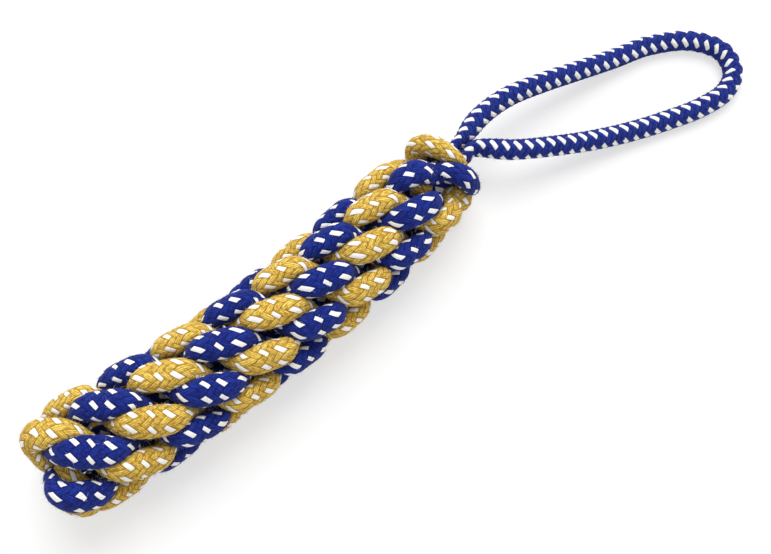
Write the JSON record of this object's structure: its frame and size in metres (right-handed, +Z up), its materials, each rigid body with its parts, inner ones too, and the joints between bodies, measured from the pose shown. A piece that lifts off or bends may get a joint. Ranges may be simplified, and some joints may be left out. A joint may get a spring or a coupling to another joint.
{
  "type": "rope dog toy",
  "caption": "Thick round chew stick of blue and yellow braided cotton cords crowned round a core, with a thinner blue cord loop at one end to hold, throw and tug it by.",
  "frame": {"origin": "middle of the stick's underside, on the table it lies on, without the handle loop", "axes": "+X along the stick towards its handle, +Z up from the table"},
  "size_m": [0.355, 0.075, 0.0447],
  "materials": {
    "blue_cotton": "matte",
    "yellow_cotton": "matte",
    "handle_cotton": "matte"
  },
  "bodies": {
    "stick": {"yellow_cord_1": "yellow_cotton", "blue_cord_1": "blue_cotton", "yellow_cord_2": "yellow_cotton", "blue_cord_2": "blue_cotton", "blue_cord_3": "blue_cotton", "yellow_cord_3": "yellow_cotton", "blue_cord_4": "blue_cotton", "yellow_cord_4": "yellow_cotton", "handle_leg_left": "handle_cotton", "handle_leg_right": "handle_cotton"},
    "handle": {"handle_loop": "handle_cotton"}
  },
  "joints": [
    {"name": "handle_lift", "type": "hinge", "parent": "stick", "child": "handle", "pos_m": [0.11141, 0.00548, 0.01985], "axis": [0.1665, -0.986, 0], "range_deg": [-80, 90]}
  ]
}
